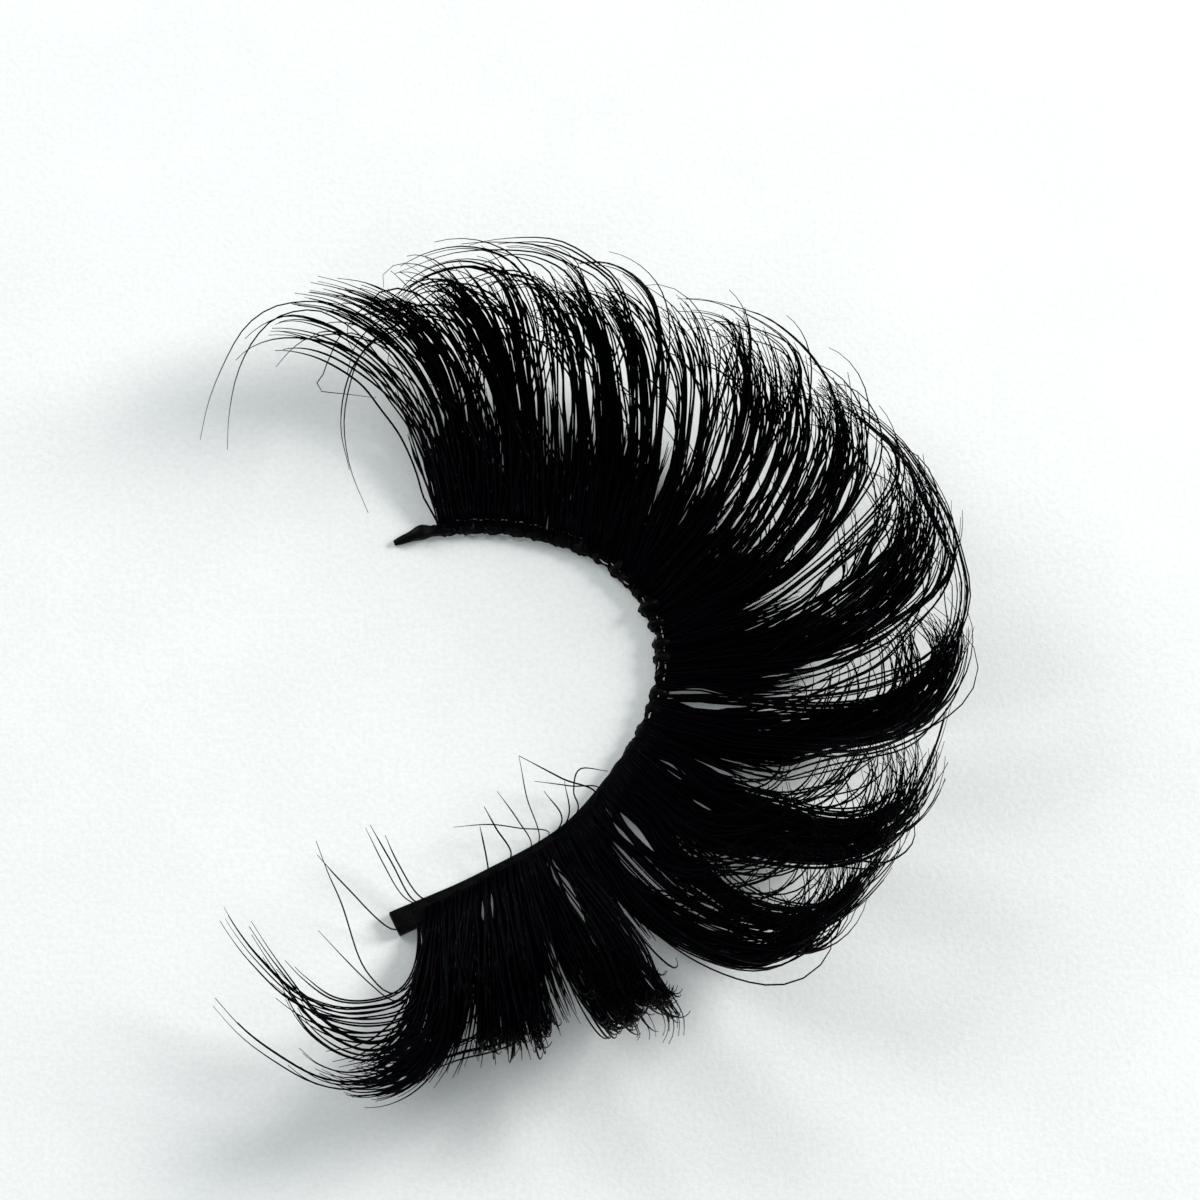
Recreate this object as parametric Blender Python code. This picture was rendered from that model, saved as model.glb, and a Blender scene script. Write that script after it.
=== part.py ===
# False eyelash strip: a knotted band that follows the eyelid, and twelve tied fans of lash hair.
# The strip lies on its band with +Z up. +X runs to the middle of the C, +Y to the end with the bare tail.
# Tables and sizes are in millimetres; the meshes are written in metres.
from collections import namedtuple
from math import pi

import bmesh
import bpy
import numpy as np

MM = 0.001

# Where the middle of the finished strip's outline lies in the tables' own coordinates
OUTLINE_CENTRE = (1.02, -1.29)

# Band
BAND_STEP = 0.35              # distance between cross-sections
KNOT_PITCH = 1.4              # one knot of the thread
KNOT_SWELL = 0.07             # how much a knot swells the band, as a share of its size
BAND_FLAT = 0.42              # half of the flat underside, as a share of the width
BAND_SHOULDER = 0.35          # height of the widest point, as a share of the height
BAND_TOP_EDGE = 0.75          # height at which the top starts to round, as a share of the height
BAND_TOP = 0.20               # half of the top's flat, as a share of the width
CURVE_STEPS = 24              # samples between two rows of the band's table
NORMAL_REACH = 0.3            # distance each way along the band for its direction

# Root bars, which stand for the glued roots of a fan
BAR_GAP = 0.15                # clear of the band
BAR_DEPTH = 0.70              # from the band outwards
BAR_HEIGHT = 0.90
BAR_STEP = 0.35
BAR_OVERHANG = 0.10           # past the outer locks' roots

# Locks of hair
LOCK_RINGS = 13
LOCK_SIDES = 8
ROOT_HEIGHT = 0.45            # the roots' middle above the surface
ROOT_THICKNESS = 0.30         # half thicknesses
BELLY_THICKNESS = 0.34
TIP_THICKNESS = 0.10
BELLY_PLACE = 0.6             # where along a lock it is widest
SWEEP_POWER = 1.15            # hair turns sideways a little more towards its tip
CURL_POWER = 1.3              # and lifts more towards its tip

# Sections of the band, from the tail's tip round the C to the cut end
BandSection = namedtuple("BandSection", "x y width height")
BAND = [
    BandSection(x=-8.60, y=7.00, width=0.25, height=0.22),
    BandSection(x=-6.70, y=7.55, width=0.55, height=0.55),
    BandSection(x=-3.20, y=7.60, width=0.60, height=0.60),
    BandSection(x=0.70, y=6.30, width=0.65, height=0.65),
    BandSection(x=2.90, y=3.80, width=0.70, height=0.70),
    BandSection(x=3.50, y=1.00, width=0.70, height=0.70),
    BandSection(x=2.60, y=-2.30, width=0.75, height=0.70),
    BandSection(x=-0.40, y=-6.60, width=0.85, height=0.65),
    BandSection(x=-4.45, y=-9.25, width=1.00, height=0.60),
    BandSection(x=-8.50, y=-11.20, width=1.15, height=0.55),
]

# Locks of each fan. at: distance along the band; heading and sweep: the direction in plan at the root,
# anticlockwise from +X, and how far it turns; lift and curl: the same for the slope; root, belly and
# tip: half widths; turn_from and turn_to: the shares of the length between which the heading turns.
Lock = namedtuple("Lock", "at heading sweep lift curl length root belly tip turn_from turn_to",
                  defaults=(0, 1))
FANS = {
    "lash_fan_01": [
        Lock(at=2.3, heading=104, sweep=84, lift=4, curl=38, length=12.8, root=0.35, belly=0.90, tip=0.30),
        Lock(at=3.2, heading=96, sweep=76, lift=4, curl=50, length=13.4, root=0.40, belly=0.80, tip=0.25),
        Lock(at=4.1, heading=92, sweep=56, lift=2, curl=64, length=12.6, root=0.45, belly=0.95, tip=0.30),
    ],
    "lash_fan_02": [
        Lock(at=5.4, heading=85, sweep=52, lift=0, curl=68, length=13.2, root=0.55, belly=0.80, tip=0.25),
        Lock(at=6.4, heading=92, sweep=14, lift=0, curl=68, length=12.8, root=0.35, belly=0.50, tip=0.20),
    ],
    "lash_fan_03": [
        Lock(at=7.6, heading=85, sweep=16, lift=0, curl=68, length=12.8, root=0.45, belly=0.65, tip=0.25),
        Lock(at=9, heading=78, sweep=40, lift=0, curl=68, length=13.6, root=0.50, belly=0.65, tip=0.30),
        Lock(at=10.2, heading=73, sweep=40, lift=0, curl=68, length=13.8, root=0.45, belly=0.80, tip=0.30),
    ],
    "lash_fan_04": [
        Lock(at=11.3, heading=60, sweep=46, lift=0, curl=68, length=14.4, root=0.30, belly=0.70, tip=0.30),
        Lock(at=11.9, heading=48, sweep=50, lift=0, curl=68, length=14.4, root=0.30, belly=0.80, tip=0.30),
        Lock(at=12.45, heading=41, sweep=54, lift=0, curl=68, length=14.4, root=0.30, belly=0.70, tip=0.30),
    ],
    "lash_fan_05": [
        Lock(at=13.4, heading=36, sweep=52, lift=0, curl=68, length=14.6, root=0.30, belly=0.75, tip=0.30),
        Lock(at=14, heading=25, sweep=54, lift=-1, curl=68, length=15.4, root=0.30, belly=1.00, tip=0.30),
        Lock(at=14.6, heading=17, sweep=54, lift=-1, curl=68, length=15.8, root=0.32, belly=0.85, tip=0.30),
    ],
    "lash_fan_06": [
        Lock(at=15.6, heading=8, sweep=52, lift=-2, curl=68, length=16.2, root=0.38, belly=0.90, tip=0.32),
        Lock(at=16.3, heading=2, sweep=52, lift=-2, curl=68, length=16.4, root=0.36, belly=0.80, tip=0.32),
    ],
    "lash_fan_07": [
        Lock(at=17.3, heading=-5, sweep=50, lift=-3, curl=68, length=16.2, root=0.32, belly=0.65, tip=0.30),
        Lock(at=18.4, heading=-19, sweep=56, lift=-3, curl=68, length=16.4, root=0.52, belly=1.30, tip=0.40),
    ],
    "lash_fan_08": [
        Lock(at=20, heading=-41, sweep=60, lift=-3, curl=68, length=16.5, root=0.50, belly=0.80, tip=0.35),
        Lock(at=21.2, heading=-46, sweep=64, lift=-3, curl=70, length=16.3, root=0.45, belly=0.70, tip=0.35),
    ],
    "lash_fan_09": [
        Lock(at=22.7, heading=-53, sweep=64, lift=-3, curl=70, length=16.6, root=0.50, belly=0.60, tip=0.35),
        Lock(at=23.8, heading=-56, sweep=62, lift=-3, curl=70, length=16.7, root=0.45, belly=0.65, tip=0.35),
        Lock(at=24.7, heading=-59, sweep=60, lift=-3, curl=70, length=16.5, root=0.35, belly=0.60, tip=0.35),
    ],
    "lash_fan_10": [
        Lock(at=25.9, heading=-64, sweep=6, lift=-3, curl=86, length=13.2, root=0.45, belly=0.85, tip=0.45),
        Lock(at=27.2, heading=-68, sweep=4, lift=-3, curl=86, length=13.2, root=0.50, belly=0.85, tip=0.45),
    ],
    "lash_fan_11": [
        Lock(at=28.7, heading=-82, sweep=0, lift=-3, curl=86, length=12.0, root=0.45, belly=0.55, tip=0.45),
        Lock(at=29.8, heading=-88, sweep=0, lift=-3, curl=86, length=11.7, root=0.40, belly=0.55, tip=0.45),
    ],
    "lash_fan_12": [
        Lock(at=31, heading=-92, sweep=-58, lift=0, curl=50, length=13, root=0.35, belly=0.70, tip=0.30,
             turn_from=0.15, turn_to=0.95),
        Lock(at=31.9, heading=-90, sweep=-132, lift=0, curl=52, length=16.2, root=0.30, belly=0.60, tip=0.30,
             turn_from=0.22, turn_to=0.66),
        Lock(at=32.7, heading=-97, sweep=-118, lift=2, curl=52, length=14.4, root=0.30, belly=0.55, tip=0.30,
             turn_from=0.17, turn_to=0.53),
    ],
}


def clear_scene():
    """Remove the objects that are in the scene before the model is made."""
    for thing in list(bpy.data.objects):
        bpy.data.objects.remove(thing, do_unlink=True)


def make_material(name, colour, roughness):
    """A Principled material with a plain colour."""
    material = bpy.data.materials.new(name)
    material.use_nodes = True
    shader = material.node_tree.nodes["Principled BSDF"]
    shader.inputs["Base Color"].default_value = (*colour, 1.0)
    shader.inputs["Roughness"].default_value = roughness
    shader.inputs["Metallic"].default_value = 0.0
    return material


def smooth_curve(points, steps):
    """Catmull-Rom curve through the rows of points, with the given steps between two rows."""
    first = 2 * points[0] - points[1]
    last = 2 * points[-1] - points[-2]
    padded = np.vstack([first, points, last])
    t = np.linspace(0, 1, steps, endpoint=False)[:, None]
    stretches = []
    for a, b, c, d in zip(padded, padded[1:], padded[2:], padded[3:]):
        stretches.append(0.5 * (2 * b + (c - a) * t + (2 * a - 5 * b + 4 * c - d) * t**2
                                + (3 * b - a - 3 * c + d) * t**3))
    return np.vstack(stretches + [points[-1:]])


class BandLine:
    """The band's middle line, read by the distance along it from the tail's tip."""

    def __init__(self, sections):
        self.samples = smooth_curve(np.array(sections), CURVE_STEPS)
        steps = np.linalg.norm(np.diff(self.samples[:, :2], axis=0), axis=1)
        self.distance = np.concatenate([[0], np.cumsum(steps)])
        self.length = self.distance[-1]

    def section(self, at):
        """Place, width and height of the band at a distance along it."""
        return BandSection(*(np.interp(at, self.distance, column) for column in self.samples.T))

    def outward(self, at):
        """Unit vector in plan from the band towards the lashes."""
        before, after = self.section(at - NORMAL_REACH), self.section(at + NORMAL_REACH)
        along = np.array([after.x - before.x, after.y - before.y])
        along /= np.linalg.norm(along)
        return np.array([-along[1], along[0]])


def loft(name, rings):
    """A closed mesh object through rings of equal point counts, with a flat cap on each end."""
    centre = np.array([*OUTLINE_CENTRE, 0.0])
    mesh = bmesh.new()
    loops = [[mesh.verts.new((point - centre) * MM) for point in ring] for ring in rings]
    for near, far in zip(loops, loops[1:]):
        for i in range(len(near)):
            j = (i + 1) % len(near)
            mesh.faces.new((near[i], near[j], far[j], far[i]))
    mesh.faces.new(list(reversed(loops[0])))
    mesh.faces.new(loops[-1])
    bmesh.ops.recalc_face_normals(mesh, faces=mesh.faces)
    data = bpy.data.meshes.new(name)
    mesh.to_mesh(data)
    mesh.free()
    data.shade_smooth()
    data.set_sharp_from_angle(angle=pi / 5)
    thing = bpy.data.objects.new(name, data)
    bpy.context.scene.collection.objects.link(thing)
    return thing


def make_band(line, material):
    """The band: a flat-bottomed thread whose knots swell it a little all along."""
    rings = []
    for at in np.linspace(0, line.length, round(line.length / BAND_STEP) + 1):
        place = line.section(at)
        out = line.outward(at)
        swell = 1 + KNOT_SWELL * np.sin(2 * pi * at / KNOT_PITCH)
        width, height = place.width * swell, place.height * swell
        profile = [(-BAND_FLAT, 0), (BAND_FLAT, 0), (0.5, BAND_SHOULDER), (BAND_FLAT, BAND_TOP_EDGE),
                   (BAND_TOP, 1), (-BAND_TOP, 1), (-BAND_FLAT, BAND_TOP_EDGE), (-0.5, BAND_SHOULDER)]
        rings.append([np.array([place.x + out[0] * across * width, place.y + out[1] * across * width,
                                up * height]) for across, up in profile])
    band = loft("band", rings)
    band.data.materials.append(material)
    return band


def make_root_bar(name, line, locks):
    """The glued roots of one fan: a bar that runs along the outside of the band."""
    start = locks[0].at - locks[0].root - BAR_OVERHANG
    end = locks[-1].at + locks[-1].root + BAR_OVERHANG
    rings = []
    for at in np.linspace(start, end, max(3, round((end - start) / BAR_STEP) + 1)):
        place = line.section(at)
        out = line.outward(at)
        near = place.width * (1 + KNOT_SWELL) / 2 + BAR_GAP
        far = near + BAR_DEPTH
        profile = [(near, 0), (far, 0), (far, BAR_HEIGHT), (near, BAR_HEIGHT)]
        rings.append([np.array([place.x + out[0] * across, place.y + out[1] * across, up])
                      for across, up in profile])
    return loft(name, rings)


def taper(u, root, belly, tip):
    """A parabola that is root at u 0, belly at u BELLY_PLACE and tip at u 1."""
    root_share = (u - BELLY_PLACE) * (u - 1) / BELLY_PLACE
    belly_share = u * (1 - u) / (BELLY_PLACE * (1 - BELLY_PLACE))
    tip_share = u * (u - BELLY_PLACE) / (1 - BELLY_PLACE)
    return root * root_share + belly * belly_share + tip * tip_share


def make_lock(name, line, lock):
    """One lock: an elliptical section carried along a curve whose heading and slope both turn."""
    u = np.linspace(0, 1, LOCK_RINGS)
    turned = np.clip((u - lock.turn_from) / (lock.turn_to - lock.turn_from), 0, 1)**SWEEP_POWER
    heading = np.radians(lock.heading + lock.sweep * turned)
    slope = np.radians(lock.lift + lock.curl * u**CURL_POWER)
    level = np.cos(slope)
    ahead = np.stack([level * np.cos(heading), level * np.sin(heading), np.sin(slope)], axis=1)
    side = np.stack([-np.sin(heading), np.cos(heading), np.zeros_like(u)], axis=1)
    above = np.cross(ahead, side)
    steps = (ahead[1:] + ahead[:-1]) / 2 * lock.length / (LOCK_RINGS - 1)
    root = line.section(lock.at)
    out = line.outward(lock.at)
    reach = root.width / 2 + BAR_GAP + BAR_DEPTH / 2
    start = np.array([root.x + out[0] * reach, root.y + out[1] * reach, ROOT_HEIGHT])
    centres = start + np.vstack([np.zeros(3), np.cumsum(steps, axis=0)])
    half_width = taper(u, lock.root, lock.belly, lock.tip)
    half_thickness = taper(u, ROOT_THICKNESS, BELLY_THICKNESS, TIP_THICKNESS)
    turns = np.arange(LOCK_SIDES) * 2 * pi / LOCK_SIDES
    rings = [centre + np.outer(np.cos(turns), s) * w + np.outer(np.sin(turns), a) * t
             for centre, s, a, w, t in zip(centres, side, above, half_width, half_thickness)]
    return loft(name, rings)


def make_fan(name, line, locks, material):
    """One fan: a root bar with its locks fused to it."""
    fan = make_root_bar(name, line, locks)
    for number, lock in enumerate(locks, start=1):
        cutter = make_lock(f"{name}_lock_{number}", line, lock)
        cutter.hide_render = True
        cutter.display_type = "WIRE"
        union = fan.modifiers.new(f"lock {number}", "BOOLEAN")
        union.operation = "UNION"
        union.solver = "EXACT"
        union.object = cutter
    fan.data.materials.append(material)
    return fan


def main():
    clear_scene()
    thread = make_material("lash_thread", (0.012, 0.012, 0.014), 0.45)
    hair = make_material("lash_hair", (0.006, 0.006, 0.008), 0.30)
    line = BandLine(BAND)
    make_band(line, thread)
    for name, locks in FANS.items():
        make_fan(name, line, locks, hair)


main()
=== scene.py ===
import bpy
import numpy as np
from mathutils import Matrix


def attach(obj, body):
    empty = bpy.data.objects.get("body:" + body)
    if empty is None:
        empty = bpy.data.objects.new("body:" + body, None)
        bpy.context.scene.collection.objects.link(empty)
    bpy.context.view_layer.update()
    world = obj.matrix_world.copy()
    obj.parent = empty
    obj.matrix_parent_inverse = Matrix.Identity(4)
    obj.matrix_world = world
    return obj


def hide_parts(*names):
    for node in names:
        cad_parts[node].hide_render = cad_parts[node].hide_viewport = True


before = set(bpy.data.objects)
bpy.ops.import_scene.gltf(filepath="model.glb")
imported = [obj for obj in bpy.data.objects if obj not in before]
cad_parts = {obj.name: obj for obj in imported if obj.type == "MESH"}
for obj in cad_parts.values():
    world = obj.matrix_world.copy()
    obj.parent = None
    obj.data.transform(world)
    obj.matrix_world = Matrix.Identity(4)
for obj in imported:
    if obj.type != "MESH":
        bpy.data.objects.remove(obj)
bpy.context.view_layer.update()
print("frame:", len(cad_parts), "solids")
chance = np.random.default_rng(11)   # seeded, so that every run gives the same hairs

place = {
    "outlineCentre": (1.02, -1.29),   # middle of the strip's outline in the tables' coordinates
    "metres": 0.001,
    "pixel": 0.045,                   # one pixel of the 1200 pixel frame, in millimetres
    "pixelZero": (585.0, 690.0),      # where the tables' x 0, y 0 lies in the frame
    "tilt": np.radians(20.0),         # the camera's angle from straight down
}

# band: x, y, width, height from the bare tail round the C to the cut end
bandTable = np.array([
    (-8.60, 7.00, 0.25, 0.22),
    (-6.70, 7.55, 0.55, 0.55),
    (-3.20, 7.60, 0.60, 0.60),
    (0.70, 6.30, 0.65, 0.65),
    (2.90, 3.80, 0.70, 0.70),
    (3.50, 1.00, 0.70, 0.70),
    (2.60, -2.30, 0.75, 0.70),
    (-0.40, -6.60, 0.85, 0.65),
    (-4.45, -9.25, 1.00, 0.60),
    (-8.50, -11.20, 1.15, 0.55),
])


def smoothCurve(points, steps):
    # Catmull-Rom: between two rows the cubic whose end slopes are half the steps to the rows beyond
    points = np.asarray(points, dtype=float)
    padded = np.vstack([2 * points[0] - points[1], points, 2 * points[-1] - points[-2]])
    a, b, c, d = (padded[i:len(padded) - 3 + i, None] for i in range(4))
    t = np.linspace(0, 1, steps, endpoint=False)[None, :, None]
    spans = 0.5 * (2 * b + (c - a) * t + (2 * a - 5 * b + 4 * c - d) * t**2 + (3 * b - a - 3 * c + d) * t**3)
    return np.vstack([spans.reshape(-1, points.shape[1]), points[-1:]])


def evenly(points, count):
    # the same curve with points at equal distances along it
    distance = np.concatenate([[0], np.cumsum(np.linalg.norm(np.diff(points, axis=0), axis=1))])
    wanted = np.linspace(0, distance[-1], count)
    return np.stack([np.interp(wanted, distance, column) for column in points.T], axis=1)


bandSamples = smoothCurve(bandTable, 24)
bandDistance = np.concatenate([[0], np.cumsum(np.linalg.norm(np.diff(bandSamples[:, :2], axis=0), axis=1))])
bandLength = bandDistance[-1]


def bandAt(at):
    # x, y, width and height of the band at a distance along it
    return np.stack([np.interp(at, bandDistance, column) for column in bandSamples.T], axis=-1)


def bandOutward(at):
    # unit vector in plan from the band to the lashes: the band's direction turned a quarter left
    at = np.asarray(at, dtype=float)
    along = (bandAt(at + 0.3) - bandAt(at - 0.3))[..., :2]
    along /= np.linalg.norm(along, axis=-1, keepdims=True)
    return np.stack([-along[..., 1], along[..., 0]], axis=-1)


def seen(pixels, height):
    # the point at a height that shows at a pixel: sight lines lean back by the camera's tilt
    x = (pixels[..., 0] - place["pixelZero"][0]) * place["pixel"]
    up = (place["pixelZero"][1] - pixels[..., 1]) * place["pixel"]
    y = (up - height * np.sin(place["tilt"])) / np.cos(place["tilt"])
    return np.stack([x, y, height], axis=-1)


def sweptMesh(name, groups, material, values=None):
    # each group is rings[thread, place, corner]: neighbouring rings are joined with quads, each end gets a cap
    quads, caps, first = [], [], 0
    for rings in groups:
        vertex = first + np.arange(rings[..., 0].size).reshape(rings.shape[:3])
        turned = np.roll(vertex, -1, axis=2)
        square = np.stack([vertex[:, :-1], turned[:, :-1], turned[:, 1:], vertex[:, 1:]], axis=-1)
        quads.append(square.reshape(-1, 4))
        caps.append(np.concatenate([vertex[:, 0, ::-1], vertex[:, -1]]))
        first += vertex.size
    corners = groups[0].shape[2]
    quads, caps = np.concatenate(quads), np.concatenate(caps)
    sizes = np.concatenate([np.full(len(quads), 4), np.full(len(caps), corners)])
    corner = np.concatenate([quads.ravel(), caps.ravel()])
    points = np.concatenate([rings.reshape(-1, 3) for rings in groups]) - np.array([*place["outlineCentre"], 0.0])
    mesh = bpy.data.meshes.new(name)
    mesh.vertices.add(len(points))
    mesh.vertices.foreach_set("co", (points * place["metres"]).astype(np.float32).ravel())
    mesh.loops.add(len(corner))
    mesh.loops.foreach_set("vertex_index", corner.astype(np.int32))
    mesh.polygons.add(len(sizes))
    mesh.polygons.foreach_set("loop_start", (np.cumsum(sizes) - sizes).astype(np.int32))
    mesh.polygons.foreach_set("use_smooth", np.ones(len(sizes), dtype=bool))
    mesh.update(calc_edges=True)
    for key, value in (values or {}).items():
        flat = np.repeat(np.concatenate([part.ravel() for part in value]), corners)
        mesh.attributes.new(key, "FLOAT", "POINT").data.foreach_set("value", flat.astype(np.float32))
    mesh.materials.append(material)
    thing = bpy.data.objects.new(name, mesh)
    bpy.context.scene.collection.objects.link(thing)
    return thing


def roundRings(paths, radii, corners, flatten=1.0):
    # a circle round every path point, square to the path; the reference is the direction level with the paper
    ahead = np.gradient(paths, axis=1)
    ahead /= np.linalg.norm(ahead, axis=2, keepdims=True)
    side = np.stack([-ahead[..., 1], ahead[..., 0], np.zeros(ahead.shape[:2])], axis=-1)
    side += 1e-6 * np.array([1.0, 0.3, 0.0])
    side /= np.linalg.norm(side, axis=2, keepdims=True)
    over = np.cross(ahead, side)
    turn = np.arange(corners) * 2 * np.pi / corners
    thick = radii * flatten
    return (paths[:, :, None] + radii[:, :, None, None] * np.cos(turn)[:, None] * side[:, :, None]
            + thick[:, :, None, None] * np.sin(turn)[:, None] * over[:, :, None])


class Value:
    # a node's output in shader sums: an expression adds its Math nodes
    def __init__(self, finish, socket):
        self.finish, self.socket = finish, socket

    def sum(self, operation, first, second):
        return self.finish.node("ShaderNodeMath", {"operation": operation}, {0: first, 1: second})

    def __add__(self, other): return self.sum("ADD", self, other)
    def __radd__(self, other): return self.sum("ADD", other, self)
    def __mul__(self, other): return self.sum("MULTIPLY", self, other)
    def __rmul__(self, other): return self.sum("MULTIPLY", other, self)


class Finish:
    # one material and the nodes in it
    def __init__(self, name):
        self.material = bpy.data.materials.new(name)
        self.material.use_nodes = True
        self.tree = self.material.node_tree
        self.tree.nodes.clear()

    def node(self, kind, settings=None, values=None, output=0):
        # a node with its settings made first, then each socket given a number or a link
        node = self.tree.nodes.new(kind)
        for key, value in (settings or {}).items():
            setattr(node, key, value)
        for key, value in (values or {}).items():
            if isinstance(value, Value):
                self.tree.links.new(value.socket, node.inputs[key])
            else:
                node.inputs[key].default_value = value
        return Value(self, node.outputs[output]) if node.outputs else None

    def attribute(self, key):
        return self.node("ShaderNodeAttribute", {"attribute_name": key}, output="Fac")

    def place(self):
        return self.node("ShaderNodeTexCoord", output="Object")

    def noise(self, where, scale, detail=2.0, roughness=0.5):
        return self.node("ShaderNodeTexNoise", {}, {"Vector": where, "Scale": scale, "Detail": detail,
                                                    "Roughness": roughness}, output="Fac")

    def mix(self, factor, first, second):
        return self.node("ShaderNodeMix", {"data_type": "RGBA"}, {0: factor, 6: first, 7: second}, output=2)

    def spread(self, value, low, high, newLow, newHigh):
        # straight from low..high to newLow..newHigh, held at the ends
        return self.node("ShaderNodeMapRange", {}, {0: value, 1: low, 2: high, 3: newLow, 4: newHigh})

    def surface(self, values):
        shader = self.node("ShaderNodeBsdfPrincipled", {}, values)
        self.node("ShaderNodeOutputMaterial", {}, {"Surface": shader})
        return self.material


# Finishes

hairFinish = {
    "blue": (0.0006, 0.0008, 0.0020, 1),
    "violet": (0.0022, 0.0010, 0.0036, 1),
    "green": (0.0006, 0.0020, 0.0018, 1),
    "gloss": 0.28, "dull": 0.6,       # roughness of the shiny and the dull dashes
    "coat": 0.10, "specular": 0.02,
    "dashLength": 0.55,               # in millimetres along the hair
}


def makeHairFinish(name, values):
    # near black, each hair a little bluer, greener or more violet; gloss and dullness change along it
    finish = Finish(name)
    along, shade = finish.attribute("along"), finish.attribute("shade")
    where = finish.node("ShaderNodeCombineXYZ", {}, {0: along * (1 / values["dashLength"]), 1: shade * 97.0, 2: 0.0})
    dash = finish.noise(where, 1.0, 1.5)
    tint = finish.spread(shade, 0.45, 0.75, 0.0, 1.0)
    cool = finish.mix(finish.spread(shade, 0.0, 0.3, 0.0, 1.0), values["green"], values["blue"])
    colour = finish.mix(tint, cool, values["violet"])
    rough = finish.spread(dash, 0.38, 0.62, values["gloss"], values["dull"])
    coat = finish.spread(dash, 0.60, 0.72, 0.0, values["coat"])
    return finish.surface({"Base Color": colour, "Roughness": rough, "Specular IOR Level": values["specular"],
                           "Coat Weight": coat, "Coat Roughness": 0.2})


threadFinish = {
    "dark": (0.0010, 0.0010, 0.0014, 1), "light": (0.006, 0.006, 0.007, 1),
    "fibre": 14000.0, "soak": 1800.0,   # noise scales of the fibre ends and of the glue that has soaked in
    "specular": 0.05,
}


def makeThreadFinish(name, values):
    # glued cotton: dark, with slightly paler fibre ends and uneven gloss where glue has soaked in
    finish = Finish(name)
    where = finish.place()
    fibre = finish.noise(where, values["fibre"], 3.0, 0.6)
    soak = finish.noise(where, values["soak"], 2.0)
    colour = finish.mix(finish.spread(fibre, 0.45, 0.75, 0.0, 1.0), values["dark"], values["light"])
    rough = finish.spread(soak, 0.4, 0.6, 0.26, 0.6)
    bump = finish.node("ShaderNodeBump", {}, {"Height": fibre, "Strength": 0.5, "Distance": 0.00003}, output=0)
    return finish.surface({"Base Color": colour, "Roughness": rough, "Normal": bump,
                           "Specular IOR Level": values["specular"]})


# pale glue colour: on the film it is glue, on the beads along the band it paints the glints (painted highlights)
glueAndGlintFinish = {"colour": (0.78, 0.80, 0.80, 1), "thin": 0.12, "thick": 0.6, "milkAndGlints": 2600.0, "roughness": 0.18}


def makeGlueAndGlintFinish(name, values):
    # dried clear glue: milky where it is thick, nearly unseen where it is thin; on the beads along the band its pale
    # colour is a painted highlight that stands for the glints on the thread
    finish = Finish(name)
    where = finish.place()
    milkAndGlints = finish.noise(where, values["milkAndGlints"], 3.0)
    alpha = finish.spread(milkAndGlints, 0.38, 0.62, values["thin"], values["thick"])
    bump = finish.node("ShaderNodeBump", {}, {"Height": milkAndGlints, "Strength": 0.4, "Distance": 0.00005}, output=0)
    return finish.surface({"Base Color": values["colour"], "Roughness": values["roughness"], "Alpha": alpha,
                           "Normal": bump})


paperFinish = {
    "pale": (0.85, 0.885, 0.89, 1), "grey": (0.775, 0.805, 0.812, 1),
    "cloud": 160.0, "tooth": 4200.0,   # noise scales
    "roughness": 0.85, "glow": 0.12,
}


def makePaperFinish(name, values):
    # matt pale paper: grey and pale mixed by wide clouds and fine tooth, which is raised a little as well
    finish = Finish(name)
    where = finish.place()
    cloud = finish.noise(where, values["cloud"], 3.0)
    tooth = finish.noise(where, values["tooth"], 3.0, 0.6)
    grain = finish.spread(cloud * 0.35 + tooth * 0.65, 0.36, 0.64, 0.0, 1.0)
    colour = finish.mix(grain, values["pale"], values["grey"])
    bump = finish.node("ShaderNodeBump", {}, {"Height": tooth, "Strength": 0.35, "Distance": 0.00005}, output=0)
    return finish.surface({"Base Color": colour, "Roughness": values["roughness"], "Normal": bump,
                           "Emission Color": values["pale"], "Emission Strength": values["glow"]})


hairMaterial = makeHairFinish("lashHair", hairFinish)
threadMaterial = makeThreadFinish("bandThread", threadFinish)
glueAndGlintMaterial = makeGlueAndGlintFinish("clearGlueAndPaintedGlints", glueAndGlintFinish)
paperMaterial = makePaperFinish("palePaper", paperFinish)
print("finishes made")

# Hair

hair = {
    "radius": 0.051, "tipRadius": 0.017, "taperFrom": 0.72,
    "corners": 3,
    "reach": 0.50,          # a lock's rows start this far outside the band's edge
    "sweepPower": 1.15, "curlPower": 1.3,
    "strandRoot": 0.05, "strandBelly": 0.17, "strandTip": 0.09,   # a strand's own spread
    "shortShare": 0.22,     # hairs that end early
    "webPerMm": 66, "webShort": 2.5, "webLong": 6.2,   # short hairs that close the roots of the fans
    "webFurther": 0.45, "webFurtherFrom": 27.0,        # they are this share longer towards the cut end
    "webCloser": [(27.6, 32.9, 260), (16.1, 17.6, 110), (10.2, 11.4, 70)],   # from, to, further hairs there
    "bluntCurl": 80,        # locks that curl more than this are cut off blunt
    "guidePlaces": 34,      # points along a guided hair
    "strayRadius": 0.041,
    "wander": 0.05, "strayWander": 0.02,
}

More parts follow.
